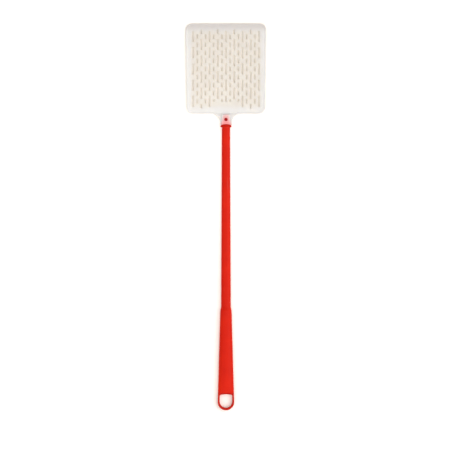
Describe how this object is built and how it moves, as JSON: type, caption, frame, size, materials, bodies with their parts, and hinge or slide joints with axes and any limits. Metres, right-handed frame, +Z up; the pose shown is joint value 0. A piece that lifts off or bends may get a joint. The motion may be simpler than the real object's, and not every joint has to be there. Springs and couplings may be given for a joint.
{
  "type": "fly swatter",
  "caption": "Fly swatter with a slotted milky plastic blade on a slim red plastic handle with a hollow back and a hang loop.",
  "frame": {"origin": "on the surface the swatter lies on, under the middle of its whole length and width", "axes": "+X across the blade, +Y along the handle from the butt towards the blade, +Z up out of the front face"},
  "size_m": [0.0938, 0.45, 0.0095],
  "materials": {
    "red_plastic": "semi-gloss moulded polypropylene",
    "milky_plastic": "satin translucent soft polyethylene"
  },
  "bodies": {
    "handle": {"hang_loop": "red_plastic", "grip": "red_plastic", "shaft": "red_plastic", "collar": "red_plastic", "tongue": "red_plastic", "snap_peg": "red_plastic", "neck_socket": "milky_plastic"},
    "blade": {"flex_web": "milky_plastic", "blade_sheet": "milky_plastic", "blade_rim": "milky_plastic"}
  },
  "joints": [
    {"name": "blade_flex", "type": "hinge", "parent": "handle", "child": "blade", "pos_m": [0, 0.1206, 0.0036], "axis": [1, 0, 0], "range_deg": [-35, 35], "stiffness_Nm_per_rad": 0.3, "deforming": ["flex_web"]}
  ]
}
